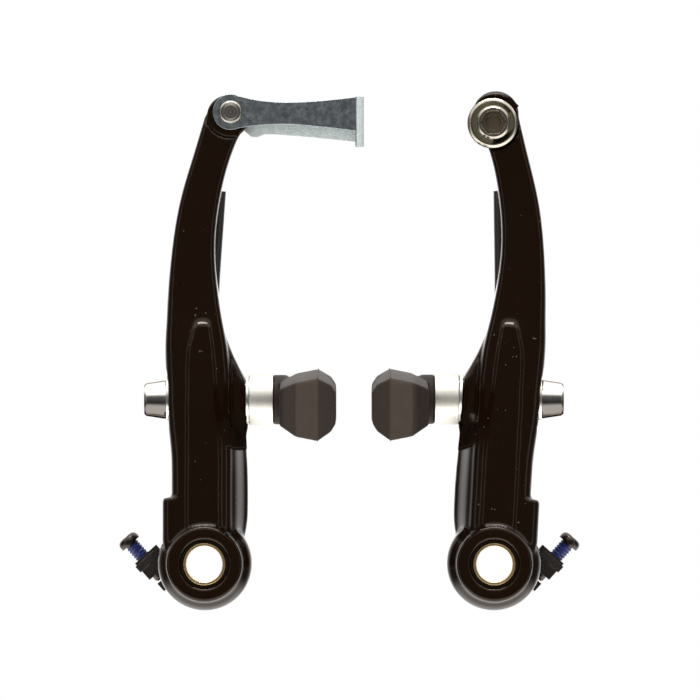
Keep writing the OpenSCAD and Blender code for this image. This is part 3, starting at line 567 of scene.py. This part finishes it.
def dress(names, finish, edge):
    """Gives CAD nodes a finish and rounded edges of that width in millimetres."""
    for name in names:
        piece = coat(name, finish)
        planes = piece.modifiers.new("planes", "DECIMATE")
        planes.decimate_type = "DISSOLVE"
        planes.angle_limit = math.radians(0.5)
        bevel = piece.modifiers.new("edges", "BEVEL")
        bevel.width = edge * 0.001
        bevel.segments = 2
        bevel.angle_limit = math.radians(30)
        normals = piece.modifiers.new("normals", "WEIGHTED_NORMAL")
        normals.keep_sharp = True


def both(*names):
    return [f"{side}_{name}" for side in ("left", "right") for name in names]


brass = Finish("brass", Metallic=1.0)
from_axis = brass.reach(brass.from_side(), brass.part(brass.spot, 2))
# Painted reflection: within 4.1 mm of the axis the bore is coloured pale, in place of the white
# surroundings it mirrors.
bore_painted_reflection = brass.ramp(from_axis, 4.1, 4.25, 1.0, 0.0)
lathe = brass.noise(0.25, 1)
brass.set(
    Base_Color=brass.mix(bore_painted_reflection, colour(206, 178, 124), colour(244, 226, 204)),
    Roughness=0.24 + 0.16 * lathe,
)
brass.bump(lathe, 0.004)
forward = Matrix.Rotation(math.radians(-90), 4, "Z")
liner = Finish("liner_plastic", Base_Color=colour(20, 12, 7))
liner.set(Roughness=0.26 + 0.14 * liner.noise(0.8), Specular_Tint=colour(176, 160, 146))
bush_rows = [(4.04, 0), (4.7, 0), (4.7, 23.5), (4.04, 23.5)]
liner_rows = [(4.73, 14.4), (liner_seat_r, 14.4), (liner_seat_r, 22.8), (4.73, 22.8)]
for side, place in both_places:
    bush = turned(side + "_bush", bush_rows, place @ forward, brass, "fork_side")
    sleeve = turned(side + "_sleeve", liner_rows, place @ forward, liner, side + "_lever")


# Spring holders and adjusters: black mouldings behind the housings, each with a black square
# nut and a cross-head screw, whose visible thread carries a blue locking patch.
def wire_tree():
    """Geometry nodes that sweep a round wire along the object's edges."""
    tree = bpy.data.node_groups.new("wire_along_path", "GeometryNodeTree")
    graph = Graph(tree)
    sockets = {}
    for name, kind in (
        ("Path", "Geometry"), ("Wire radius", "Float"), ("Sides", "Int"), ("Finish", "Material"),
    ):
        sockets[name] = tree.interface.new_socket(
            name, in_out="INPUT", socket_type="NodeSocket" + kind
        ).identifier
    tree.interface.new_socket("Wire", in_out="OUTPUT", socket_type="NodeSocketGeometry")
    given = tree.nodes.new("NodeGroupInput").outputs
    line = graph.add("GeometryNodeMeshToCurve", {}, {"Mesh": Level(graph, given["Path"])})
    ring = graph.add(
        "GeometryNodeCurvePrimitiveCircle",
        {"mode": "RADIUS"},
        {"Resolution": Level(graph, given["Sides"]), "Radius": Level(graph, given["Wire radius"])},
    )
    swept = graph.add(
        "GeometryNodeCurveToMesh", {}, {"Curve": line, "Profile Curve": ring, "Fill Caps": True}
    )
    real = graph.add("GeometryNodeRealizeInstances", {}, {"Geometry": swept})
    done = graph.add(
        "GeometryNodeSetMaterial",
        {},
        {"Geometry": real, "Material": Level(graph, given["Finish"])},
    )
    graph.add("NodeGroupOutput", {}, {"Wire": done})
    return tree, sockets


wire_nodes, wire_sockets = wire_tree()


def wire(name, path, radius, finish, sides, closed=False):
    """Round wire along points in millimetres, as one plain mesh."""
    data = bpy.data.meshes.new(name)
    count = len(path)
    joins = [(i, (i + 1) % count) for i in range(count if closed else count - 1)]
    data.from_pydata([Vector(p) * 0.001 for p in path], joins, [])
    piece = bpy.data.objects.new(name, data)
    scene.collection.objects.link(piece)
    sweep = piece.modifiers.new("sweep", "NODES")
    sweep.node_group = wire_nodes
    sweep[wire_sockets["Wire radius"]] = radius * 0.001
    sweep[wire_sockets["Sides"]] = sides
    sweep[wire_sockets["Finish"]] = finish.material
    settle(piece)
    piece.data.shade_smooth()
    piece.data.set_sharp_from_angle(angle=math.radians(50))
    return piece


moulding = Finish("holder_plastic", Base_Color=colour(34, 27, 23))
moulding.set(Roughness=0.14 + 0.12 * moulding.noise(0.7))
moulding.bump(moulding.noise(1.2, 1), 0.16)
dress(both("spring_holder", "spring_seat"), moulding, 0.15)
oxide = Finish("black_oxide", Base_Color=colour(88, 81, 75), Metallic=0.9)
oxide.set(Roughness=0.12 + 0.12 * oxide.noise(0.6))
oxide.bump(oxide.noise(1.6, 1), 0.25)
dress(both("adjuster_nut"), oxide, 0.18)
patch = Finish("screw_with_patch")
screw_x, screw_y, screw_lean = -13.4, -2.3, math.radians(42)
along = patch.part(patch.spot, 2) * math.cos(screw_lean) - (
    patch.from_side() - screw_x
) * math.sin(screw_lean)
blue = patch.ramp(along, 1.1, 1.3) * patch.ramp(along, 4.9, 5.15, 1.0, 0.0)
patch.set(
    Base_Color=patch.mix(blue, colour(58, 52, 48), colour(14, 28, 84)),
    Metallic=0.9 - 0.9 * blue,
    Roughness=0.2 + 0.2 * blue + 0.12 * patch.noise(0.5),
)
dress(both("adjuster_screw"), patch, 0.12)
thread_r, pitch, turns, thread_start = 1.47, 0.7, 5.3, 1.5
for side, mirror in (("left", 1), ("right", -1)):
    helix = []
    for k in range(int(turns * 32) + 1):
        angle, h = math.tau * k / 32, thread_start + pitch * k / 32
        u, v = thread_r * math.cos(angle), thread_r * math.sin(angle) * mirror
        x = screw_x + u * math.cos(screw_lean) - h * math.sin(screw_lean)
        z = u * math.sin(screw_lean) + h * math.cos(screw_lean)
        helix.append((x if side == "left" else 2 * half_span - x, screw_y + v, z))
    thread = wire(side + "_screw_thread", helix, 0.2, patch, 6)
    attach(thread, side + "_tension_screw")


# Return springs: a coil of 2 mm wire in each housing and a long leg behind the arm, which a
# black boot covers where it bears on the arm's stud. Swept along the same route as in the CAD.
coil_r, coil_h, coil_turns, coil_pitch, leg_y = 7.83, 5.9, 3.25, 2.2, -4.35
wire_r, boot_r = 1, 1.45
# Steps along the long leg with X, Y and Z.
leg_points = [
    (0, coil_r, -coil_h, 0), (1, coil_r, -coil_h, 3), (2, coil_r - 0.3, -coil_h + 0.2, 7),
    (3, coil_r - 0.9, leg_y, 12), (4, coil_r - 2.4, leg_y, 18), (5, coil_r - 4.4, leg_y, 30),
    (6, 2.2, leg_y, 44), (7, 1.6, leg_y, 55), (8, 1.6, leg_y, 62), (9, 3, leg_y, 82.8),
]


def leg_at(s):
    return Vector([curve(leg_points, s, k) for k in (1, 2, 3)])


drawn = Finish("spring_wire", Metallic=1.0)
drawn.set(Base_Color=colour(150, 148, 144), Roughness=0.3 + 0.15 * drawn.noise(0.4))
tube = Finish("boot_tube", Base_Color=colour(26, 20, 16))
tube.set(Roughness=0.34 + 0.14 * tube.noise(1.5))
for side, place in both_places:
    route = [leg_at(9 - 0.05 * k) for k in range(181)]
    for k in range(1, int(coil_turns * 64) + 1):
        angle, depth = math.tau * k / 64, coil_h + coil_pitch * k / 64
        route.append(Vector((coil_r * math.cos(angle), -depth, -coil_r * math.sin(angle))))
    inwards = Vector((route[-1].x, 0, route[-1].z)).normalized()
    route.append(route[-1] - inwards * 2.1)
    spring = wire(side + "_spring_wire", [place @ p for p in route], wire_r, drawn, 20)
    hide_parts(side + "_spring")
    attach(spring, side + "_lever")
    covered = [leg_at(9 - 0.05 * k) for k in range(31)]
    tip = covered[0] + (covered[0] - covered[1]).normalized() * 1.2
    boot = wire(side + "_leg_boot", [place @ p for p in [tip] + covered], boot_r, tube, 24)
    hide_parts(side + "_spring_boot")
    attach(boot, side + "_lever")
zinc = Finish("bright_zinc", Metallic=1.0)
cloud = zinc.noise(1.3)
zinc.set(
    Base_Color=zinc.mix(cloud, colour(188, 186, 180), colour(212, 211, 205)),
    Roughness=0.22 + 0.16 * cloud,
)
zinc.bump(zinc.noise(0.25), 0.006)
stud_rows = [(0.02, -0.8), (2.3, -0.8), (2.3, 0), (1.5, 0), (1.5, 7.25), (0.02, 7.25)]
stud_seat = Matrix.Translation((-1.37, -2.75, 62)) @ forward
for side, place in both_places:
    name = side + "_spring_stud"
    peg = turned(name, stud_rows, place @ stud_seat, zinc, side + "_lever", False, 0.35)


# Pads: moulded rubber blocks, matt and slightly grainy, with rounded edges, on the plates of
# their studs. A thin line of mould flash runs round each one at its ridge.
rubber = Finish("pad_rubber", Specular_IOR_Level=0.18)
grain = rubber.noise(0.35)
# Painted light: faces turned to the front are coloured lighter, mottled by noise.
front_light_and_mottle = rubber.ramp(abs(rubber.facing(1)), 0.8, 1.0) * (0.55 + 0.45 * rubber.noise(2.5, 3))
# Painted shade: the neck nearer the stud is coloured darker than the block.
block_past_shaded_neck = rubber.ramp(rubber.from_side(), 17.2, 18.4)
front_lit_block = rubber.mix(front_light_and_mottle, colour(50, 42, 36), colour(70, 60, 54))
rubber.set(
    Base_Color=rubber.mix(block_past_shaded_neck, colour(32, 25, 20), front_lit_block),
    Roughness=0.45 + 0.3 * grain,
)
rubber.bump(grain, 0.07)
for name in both("pad"):
    pad = coat(name, rubber)
    skin = pad.modifiers.new("skin", "REMESH")
    skin.mode = "VOXEL"
    skin.voxel_size = 0.00035
    skin.use_smooth_shade = True
    soft = pad.modifiers.new("soft", "SMOOTH")
    soft.factor = 0.5
    soft.iterations = 8
left_ball, right_ball = (2.65, pad_plane, pad_z), (64.408, pad_plane, 36.891)
rim_r, half_height, half_length, ridge_x = 300, 6.9, 34, 22.85
ridge = []
for r, steps in (
    (rim_r + half_height, range(-half_length, half_length + 1)),
    (rim_r - half_height, range(half_length, -half_length - 1, -1)),
):
    ridge += [(y, math.sqrt(r**2 - y * y) - rim_r) for y in steps]
for side, ball, mirror in (("left", left_ball, 1), ("right", right_ball, -1)):
    line = [(ball[0] + mirror * ridge_x, ball[1] + y, ball[2] + z) for y, z in ridge]
    flash = wire(side + "_pad_flash", line, 0.12, rubber, 6, True)
    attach(flash, side + "_shoe")


# Pad fixings: satin turned spacers towards the pads, bright ball washers on both sides of the
# arm, threaded studs, and chromed cone nuts with hexagon sockets on the outside.
satin = Finish("satin_alloy", Metallic=0.95)
grit = satin.noise(0.16, 3)
satin.set(
    Base_Color=satin.mix(grit, colour(146, 142, 134), colour(236, 232, 222)),
    Roughness=0.36 + 0.2 * grit,
)
satin.bump(grit, 0.02)
stud = Finish("stud_steel", Metallic=1.0, Base_Color=colour(140, 140, 142))
stud.set(Roughness=0.3 + 0.2 * stud.noise(0.5))
dress(both("pad_stud"), stud, 0.1)
chrome = Finish("chrome", Metallic=1.0, Specular_Tint=colour(92, 88, 82))
haze = chrome.noise(2)
# Painted light: surfaces facing upwards are coloured paler, and those facing down are painted
# darker.
painted_top_light = chrome.ramp(chrome.facing(2) + 0.1 * haze, -0.2, 0.5)
chrome.set(
    Base_Color=chrome.mix(painted_top_light, colour(92, 88, 84), colour(232, 228, 220)),
    Roughness=0.1 + 0.08 * haze,
)
# Turned profiles: radius, and distance from the common centre of the ball washers.
hollow_seat = [(r, h) for h, r in arc(0, 0, 9.03, 36, -15.5, 6)]
cup = [(5.7, 12.65), (5.7, 7.3)] + hollow_seat + [(3, 12.65)]
small_cup = [(5.4, 10.55), (5.4, 7.3)] + hollow_seat + [(3, 10.55)]
dome = [(3.8, 6.55), (5.4, 6.55)] + [(r, h) for h, r in arc(0, 0, 9, 36.8, -11.8, 6)]
washer = [(3, 10.55), (5.4, 10.55), (5.4, 11.35), (3, 11.35)]
nut = [
    (3, 11.35), (4.3, 11.35), (4.3, 11.95), (3.7, 15.85), (3.3, 16.35), (2.3, 16.35, 1),
    (2.3, 14.05, 1), (3, 14.05),
]
flip = Matrix.Diagonal((-1, 1, 1, 1))
for side, centre, place in (
    ("left", Matrix.Translation(left_ball), left_place),
    ("right", Matrix.Translation(right_ball) @ flip, right_place),
):
    arm_centre = place @ Matrix.Translation(left_ball)
    for name, rows, seat, finish, slot, body in (
        ("inner_cup", cup, centre, satin, "satin_alloy", "shoe"),
        ("outer_cup", small_cup, centre @ flip, zinc, "zinc", "shoe"),
        ("flat_washer", washer, centre @ flip, zinc, "zinc", "shoe"),
        ("pad_nut", nut, centre @ flip, chrome, "chrome", "shoe"),
        ("inner_dome", dome, arm_centre, zinc, "zinc", "domes"),
        ("outer_dome", dome, arm_centre @ flip, zinc, "zinc", "domes"),
    ):
        piece = turned(f"{side}_{name}", rows, seat, finish, f"{side}_{body}")


# Cable link: folded sheet with mottled blue-bright zinc; its inner strip and its fold are painted
# pale, matt and less metallic as painted light. It hangs on a steel rivet with turned heads, which
# goes through the left arm's end.
plate = Finish("blue_zinc")
blotch = plate.noise(1.1, 4)
fine = plate.noise(0.3, 2)
# Painted light: the strip inside the fold and the fold itself are coloured pale.
across = abs(plate.part(plate.spot, 1) - pad_plane)
fold = plate.ramp(plate.part(plate.spot, 0), 33.9, 34.3)
painted_light_inside = plate.maths("MAXIMUM", plate.ramp(across, 3.6, 3.7, 1.0, 0.0), fold)
plate.set(
    Base_Color=plate.mix(
        painted_light_inside,
        plate.mix(blotch, colour(104, 112, 118), colour(170, 176, 178)),
        plate.mix(blotch, colour(176, 184, 182), colour(212, 220, 218)),
    ),
    Metallic=1 - 0.8 * painted_light_inside,
    Roughness=0.26 + 0.2 * blotch + 0.14 * painted_light_inside,
)
plate.bump(blotch + 0.3 * fine, 0.02)
dress(["cable_link"], plate, 0.12)
rivet = Finish("rivet_steel", Metallic=1.0, Base_Color=colour(160, 155, 146))
out_from_pin = rivet.reach(
    rivet.part(rivet.spot, 0) - pin_x, rivet.part(rivet.spot, 2) - pin_z
)
rivet.set(Roughness=0.24 + 0.1 * rivet.maths("SINE", out_from_pin * 9))
head = [(2, 4.75), (2.6, 4.75), (2.6, 4.95), (2.3, 5.3), (1.4, 5.5), (0.02, 5.55)]
rivet_rows = [(r, -h) for r, h in reversed(head)] + head
rivet_place = Matrix.Translation((pin_x, -mid_y, pin_z)) @ forward
link_pin = turned("link_rivet", rivet_rows, rivet_place, rivet, "left_lever", False)


# Cable anchor: chromed bolt with a hexagon socket, screwed into the right arm's end, with a washer
# in the bolt's finish under its head and a black clamp plate that holds the cable.
bolt = Finish("anchor_bolt_steel", Specular_Tint=colour(150, 147, 138))
anchor_x, anchor_z = 64.724, 98.97
out_from_bolt = bolt.reach(
    bolt.part(bolt.spot, 0) - anchor_x, bolt.part(bolt.spot, 2) - anchor_z
)
solid = bolt.ramp(out_from_bolt, 2.6, 2.8)
# Painted reflection: faces turned to the front are coloured lighter, and the slanted flanks of the
# cone are painted darker.
facing = bolt.ramp(abs(bolt.facing(1)), 0.3, 0.9)
bolt.set(
    Base_Color=bolt.mix(
        solid,
        colour(104, 92, 76),
        bolt.mix(facing, colour(104, 102, 98), colour(156, 149, 136)),
    ),
    Metallic=0.5 + 0.5 * solid,
    Roughness=0.16 + 0.1 * bolt.noise(2),
)
bolt_rows = [
    (0.02, -8), (3, -8), (3, 2.8), (4.8, 2.8), (4.8, 3.8), (3.8, 7.5), (3.3, 8), (2.5, 8, 1),
    (2.5, 5, 1), (1.65, 5), (1.65, 4), (0.02, 4),
]
anchor = Matrix.Translation((anchor_x, -clamp_y, anchor_z)) @ forward
socket_turn = Matrix.Rotation(math.radians(33.2), 4, "X")
screw = turned("anchor_bolt", bolt_rows, anchor @ socket_turn, bolt, "right_lever", False, 0.2)
above_plate = Matrix.Translation((anchor_x, -clamp_y - 1.5, anchor_z)) @ forward
dish = [(3, 0), (5.6, 0), (5.6, 0.9), (5, 1.3), (3, 1.3)]
under = turned("anchor_washer", dish, above_plate, bolt, "right_lever")
dress(["clamp_plate"], paint, 0.15)
